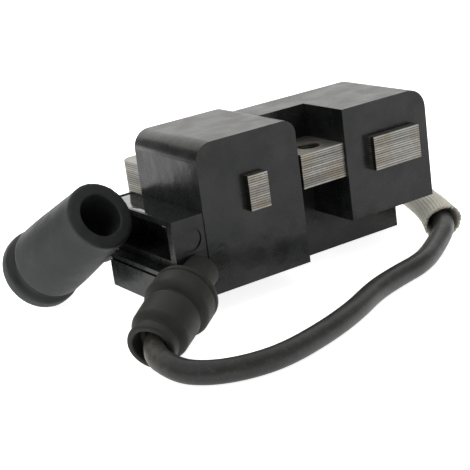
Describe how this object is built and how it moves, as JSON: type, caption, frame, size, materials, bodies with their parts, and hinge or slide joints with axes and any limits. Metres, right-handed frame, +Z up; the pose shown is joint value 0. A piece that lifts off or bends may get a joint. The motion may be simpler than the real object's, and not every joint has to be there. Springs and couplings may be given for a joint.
{
  "type": "ignition coil",
  "caption": "Small-engine flywheel ignition coil with laminated E-core, potted coil case, high-tension lead, heat sleeve and elbow plug boot.",
  "frame": {"origin": "on the table under the middle of the coil, its lead and boots left out", "axes": "+X along the core from the lead tower's side, +Y from the pole faces to the yoke, +Z up"},
  "size_m": [0.1392, 0.1234, 0.047],
  "materials": {
    "lamination_steel": "satin",
    "rivet_steel": "satin",
    "case_plastic": "satin",
    "cover_plastic": "satin",
    "potting_epoxy": "gloss",
    "tinned_tab": "satin",
    "bobbin_plastic": "matte",
    "copper_wire": "satin",
    "board_laminate": "matte",
    "component_body": "matte",
    "brass_pin": "satin",
    "boot_rubber": "matte",
    "plug_rubber": "satin",
    "lead_rubber": "satin",
    "woven_sleeve": "woven"
  },
  "bodies": {
    "root": {"core_laminations": "lamination_steel", "core_rivets": "rivet_steel", "coil_case": "case_plastic", "terminal_potting": "potting_epoxy", "filler_plug": "case_plastic", "stop_terminal": "tinned_tab", "side_cover": "cover_plastic", "primary_bobbin": "bobbin_plastic", "primary_winding": "copper_wire", "secondary_bobbin": "bobbin_plastic", "secondary_winding": "copper_wire", "charge_bobbin": "bobbin_plastic", "charge_winding": "copper_wire", "trigger_winding": "copper_wire", "circuit_board": "board_laminate", "discharge_capacitor": "component_body", "thyristor": "component_body", "diodes": "component_body", "resistors": "component_body", "hookup_wires": "copper_wire", "ground_strap": "tinned_tab", "ht_tower": "case_plastic", "ht_terminal_pin": "brass_pin", "tower_boot": "boot_rubber", "plug_boot": "plug_rubber", "plug_terminal": "tinned_tab", "lead_spike": "brass_pin", "ht_lead": "lead_rubber", "ht_lead_conductor": "copper_wire", "fibreglass_sleeve": "woven_sleeve", "potting_resin": "potting_epoxy"}
  },
  "joints": []
}
